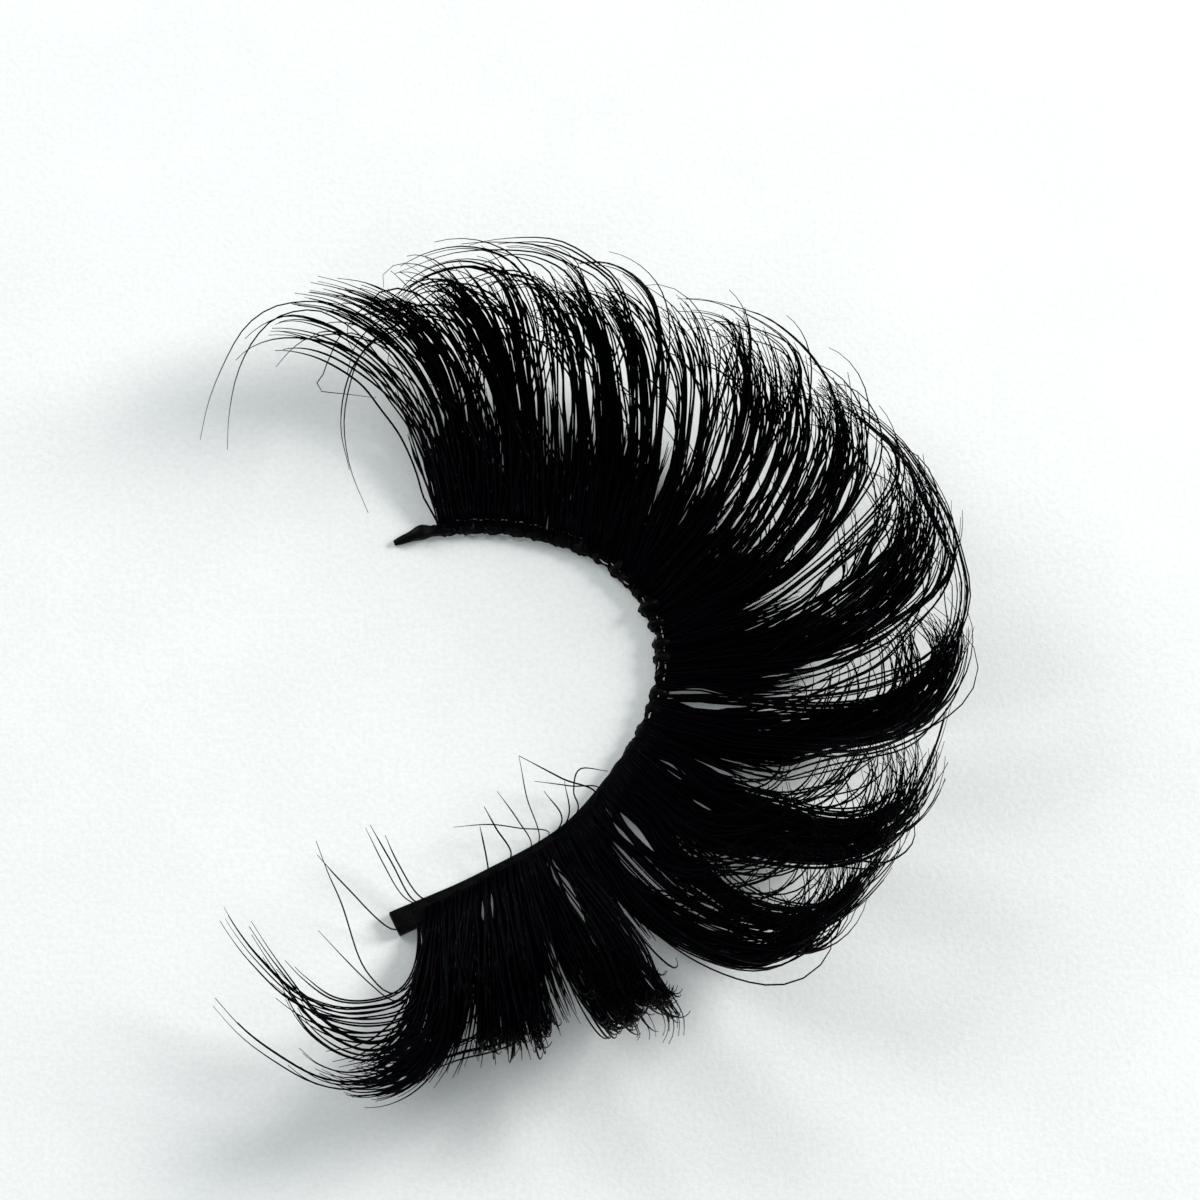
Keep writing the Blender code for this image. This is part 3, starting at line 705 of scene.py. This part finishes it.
def guidedHairs(seed):
    # a smooth curve through the pixels, starting in the band; its height grows with distance to the power 1.5;
    # a strand's hairs lie beside it by the spread, end at different places and differ a little in height
    chance = np.random.default_rng(seed)
    paths, fans = [], []
    for fan, at, tipHeight, count, rootSpread, tipSpread, pixels in guideTable:
        band = bandAt(np.array(at))
        up = band[1] * np.cos(place["tilt"]) + 0.4 * np.sin(place["tilt"])
        root = place["pixelZero"] + np.array([band[0], -up]) / place["pixel"]
        line = evenly(smoothCurve(np.vstack([root, pixels]), 12), 200)
        ahead = np.gradient(line, axis=0)
        side = np.stack([-ahead[:, 1], ahead[:, 0]], axis=1) / np.linalg.norm(ahead, axis=1, keepdims=True)
        share = chance.normal(0, 1, (3, count)) if count > 1 else np.zeros((3, 1))
        u, shares = np.linspace(0, 1, hair["guidePlaces"]), np.linspace(0, 1, len(line))
        for across, depth, end in share.T:
            reach = u * (1 - min(0.07 * abs(end), 0.2))
            offset = across * (rootSpread + (tipSpread - rootSpread) * reach) * np.clip(8 * reach, 0.2, 1)
            pixel = np.stack([np.interp(reach, shares, column) for column in line.T], axis=1)
            turned = np.stack([np.interp(reach, shares, column) for column in side.T], axis=1)
            height = 0.4 + (tipHeight - 0.4) * reach**1.5 * (1 + 0.05 * depth) + 0.15 * depth * reach
            paths.append(seen(pixel + offset[:, None] * turned, np.maximum(height, 0.08)))
            fans.append(fan)
    return np.array(paths), np.array(fans)


def hairMesh(name, groups, radius, wander):
    # radius falls to the tip's along the last part; a slow wander bends each hair a little
    rings, along, shade = [], [], []
    for paths in groups:
        threads, places = paths.shape[:2]
        u = np.linspace(0, 1, places)
        phase = chance.uniform(0, 2 * np.pi, (3, threads, 1))
        pace = chance.uniform(0.5, 1.7, (3, threads, 1))
        size = wander * chance.normal(0, 1, (3, threads, 1))
        paths = paths + np.moveaxis(size * u**1.5 * np.sin(2 * np.pi * pace * u + phase), 0, -1)
        paths[..., 2] = np.maximum(paths[..., 2], radius + 0.01)
        late = np.clip((u - hair["taperFrom"]) / (1 - hair["taperFrom"]), 0, 1)
        thin = 1 - (1 - hair["tipRadius"] / radius) * (3 * late**2 - 2 * late**3)
        radii = radius * thin[None] * chance.uniform(0.8, 1.15, (threads, 1))
        length = np.linalg.norm(np.diff(paths, axis=1), axis=2)
        rings.append(roundRings(paths, radii, hair["corners"]))
        along.append(np.concatenate([np.zeros((threads, 1)), np.cumsum(length, axis=1)], axis=1))
        shade.append(np.repeat(chance.random((threads, 1)), places, axis=1))
    piece = sweptMesh(name, rings, hairMaterial, {"along": along, "shade": shade})
    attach(piece, "root")
    return piece


groups = [lockHairs(3), looseHairs(5), wildHairs(7), webHairs(9)]
groups = [partHairs(paths, fans) for paths, fans in groups] + [guidedHairs(13)]
for number in range(1, 13):
    own = [paths[fans == number] for paths, fans in groups]
    piece = hairMesh(f"lash_hairs_{number:02d}", own, hair["radius"], hair["wander"])
    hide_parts(f"lash_fan_{number:02d}")
paths, fans = groups[-1]
hairMesh("stray_hairs", [paths[fans == 0]], hair["strayRadius"], hair["strayWander"])
print("hairs:", [len(paths) for paths, fans in groups])

# Band

band = {
    "step": 0.07, "corners": 20,
    "knotPitch": 1.05, "knotSwell": 0.14, "lumpSwell": 0.45,
    "flatFrom": 19.5, "flatTo": 22.5,   # the thread turns into a flat ribbon between these
    "tailSwell": 0.45,
    "threadRadius": 0.055, "threadStep": 0.06, "glueSquash": 0.5,
}

# wound threads: where round the core they start, their pitch, and their distance as a share of the core's
threadTable = [
    (0.0, 1.05, 0.98),
    (2.1, 1.05, 1.00),
    (4.2, 1.05, 0.99),
    (1.0, -2.30, 1.04),
    (4.0, -2.30, 1.03),
]


def bandRings(at, profile):
    # profile[place, corner] holds distances across and up, set square to the band's line
    section, out = bandAt(at), bandOutward(at)
    flat = section[:, None, :2] + out[:, None] * profile[..., :1]
    return np.concatenate([flat, profile[..., 1:]], axis=-1)[None]


def knotted(at):
    # 1 where the thread is knotted, falling to 0 where the band is a flat ribbon
    return np.clip((band["flatTo"] - at) / (band["flatTo"] - band["flatFrom"]), 0, 1)


def swollen(at):
    # share by which the knotted thread is thicker: a knot at every pitch, and lumps of two wave lengths round
    # the middle of the band
    lumps = np.sin(at * 2.3) * np.sin(at * 5.1 + 1.0) * np.exp(-((at - 14.0) / 4.5)**4)
    knots = np.sin(2 * np.pi * at / band["knotPitch"])
    return knotted(at) * (band["knotSwell"] * knots + band["lumpSwell"] * lumps)


def makeBandCore():
    # a flat-bottomed oval, a superellipse of power 2.6 that grows to 7 on the ribbon, swollen at each knot of
    # the thread and a little past the tail's point
    at = np.linspace(0, bandLength, int(bandLength / band["step"]))
    turn = np.arange(band["corners"]) * 2 * np.pi / band["corners"]
    section, knots = bandAt(at), knotted(at)
    swell = 1 + swollen(at) + band["tailSwell"] * np.exp(-((at - 1.0) / 0.7)**2)
    power = (2 / (2.6 + 4.4 * (1 - knots)))[:, None]
    wide = np.sign(np.cos(turn)) * np.abs(np.cos(turn))**power
    high = np.sign(np.sin(turn)) * np.abs(np.sin(turn))**power
    across = wide * (section[:, 2] * swell)[:, None] * (0.46 + 0.04 * (1 - knots))[:, None]
    up = np.maximum(0.5 + 0.5 * high, 0.0) * (section[:, 3] * swell)[:, None] * 0.92
    return sweptMesh("band_core", [bandRings(at, np.stack([across, up], axis=-1))], threadMaterial)


def makeBandThreads():
    # threads wound round the core: helices whose radii follow the band's half width and height, sunk into the
    # ribbon where the band is flat
    at = np.linspace(0.5, band["flatTo"] - 0.2, int(bandLength / band["threadStep"]))
    section, out, knots = bandAt(at), bandOutward(at), knotted(at)
    paths = []
    for start, pitch, lift in threadTable:
        angle = start + 2 * np.pi * at / pitch + 0.5 * np.sin(at * 1.7 + start)
        lift = lift * (0.8 + 0.2 * knots)
        across = np.cos(angle) * section[:, 2] * 0.47 * lift * (1 + swollen(at))
        up = (0.5 + 0.47 * np.sin(angle) * lift) * section[:, 3] * 0.94
        paths.append(np.column_stack([section[:, :2] + out * across[:, None], np.maximum(up, 0.045)]))
    paths = np.array(paths)
    radii = np.full(paths.shape[:2], band["threadRadius"]) * np.clip(section[:, 2] / 0.6, 0.4, 1.0)
    return sweptMesh("band_threads", [roundRings(paths, radii, 6)], threadMaterial)


# clear glue and painted glints: from and to along the band, distance from its middle as a share of its width,
# height, radius; the first row is a glue film, the others are pale beads that paint the band's glints (painted
# highlights)
glueAndGlintTable = [
    (3.2, 6.2, -0.62, 0.06, 0.100),
    (2.9, 8.6, 0.42, 0.60, 0.018),
    (9.7, 10.2, -0.36, 0.60, 0.026),
    (10.3, 10.9, -0.20, 0.68, 0.024),
    (11.3, 11.6, -0.38, 0.60, 0.028),
    (12.5, 13.0, -0.15, 0.68, 0.024),
    (13.6, 13.8, 0.10, 0.70, 0.030),
    (14.1, 14.8, 0.12, 0.70, 0.026),
    (14.4, 14.7, -0.36, 0.62, 0.026),
    (15.0, 15.3, 0.10, 0.71, 0.036),
    (15.4, 16.1, 0.18, 0.70, 0.034),
    (15.8, 16.2, -0.30, 0.66, 0.026),
    (16.3, 16.7, 0.16, 0.71, 0.040),
    (17.2, 17.5, 0.02, 0.72, 0.028),
    (18.3, 18.6, -0.10, 0.72, 0.036),
]


def makeGlueAndGlints():
    # a glue film along the inner foot of the band below the bare tail, then pale beads that paint highlights: a thin
    # bead on its outer top and short beads on the knots, painted glints; each is a tube whose radius rises and falls
    # as a sine
    rings = []
    for start, end, share, height, radius in glueAndGlintTable:
        at = np.linspace(start, end, 60)
        section, out = bandAt(at), bandOutward(at)
        wave = 1 + 0.12 * np.sin(at * 9.0)
        flat = section[:, :2] + out * (share * section[:, 2] * wave)[:, None]
        path = np.column_stack([flat, np.full(len(at), height)])
        radii = radius * np.sin(np.pi * np.linspace(0.03, 0.97, len(at)))**0.4
        rings.append(roundRings(path[None], radii[None], 8, flatten=band["glueSquash"] if height < 0.1 else 1.0))
    return sweptMesh("glue_film_and_painted_glints", rings, glueAndGlintMaterial)


bandPieces = [makeBandCore(), makeBandThreads(), makeGlueAndGlints()]
for piece in bandPieces:
    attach(piece, "root")
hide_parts("band")
print("band made")

# Paper, light and camera

stage = {
    "lookAt": (-0.000345, 0.0056, 0.0), "distance": 0.72, "lens": 480.0, "tilt": place["tilt"],
    "paperHalf": 0.6, "lampColour": (1.0, 0.985, 0.96),
    "keyPlace": (0.53, 0.21, 0.26), "keySize": 0.27, "keyPower": 5.1,
    "fillPlace": (-0.42, 0.30, 0.26), "fillSize": 0.36, "fillPower": 1.8,
    "sky": (0.93, 1.0, 1.0, 1), "skyStrength": 0.32,
}


def makeStage(values):
    # a square of paper, two round lamps, the camera tilted back from straight down, and an even sky
    corner = values["paperHalf"] * np.array([(-1, -1), (1, -1), (1, 1), (-1, 1)])
    mesh = bpy.data.meshes.new("paper")
    mesh.from_pydata([(x, y, 0.0) for x, y in corner], [], [(0, 1, 2, 3)])
    mesh.materials.append(paperMaterial)
    paper = bpy.data.objects.new("paper", mesh)
    bpy.context.scene.collection.objects.link(paper)

    for name in ("key", "fill"):
        # each lamp faces the middle of the paper: its -Z runs along the line to it
        lamp = bpy.data.lights.new(name, "AREA")
        lamp.shape, lamp.size, lamp.energy = "DISK", values[name + "Size"], values[name + "Power"]
        lamp.color = values["lampColour"]
        holder = bpy.data.objects.new(name, lamp)
        x, y, z = holder.location = values[name + "Place"]
        holder.rotation_euler = (np.arctan2(np.hypot(x, y), z), 0, np.arctan2(y, x) + np.pi / 2)
        bpy.context.scene.collection.objects.link(holder)

    lens = bpy.data.cameras.new("camera")
    lens.lens, lens.sensor_width, lens.clip_start, lens.clip_end = values["lens"], 36.0, 0.01, 10.0
    camera = bpy.data.objects.new("camera", lens)
    x, y, z = values["lookAt"]
    back, up = values["distance"] * np.sin(values["tilt"]), values["distance"] * np.cos(values["tilt"])
    camera.location = (x, y - back, z + up)
    camera.rotation_euler = (values["tilt"], 0, 0)
    bpy.context.scene.collection.objects.link(camera)
    bpy.context.scene.camera = camera

    world = bpy.data.worlds.new("sky")
    world.use_nodes = True
    world.node_tree.nodes["Background"].inputs[0].default_value = values["sky"]
    world.node_tree.nodes["Background"].inputs[1].default_value = values["skyStrength"]
    bpy.context.scene.world = world
    bpy.context.scene.view_settings.view_transform = "Standard"


makeStage(stage)
print("stage made")
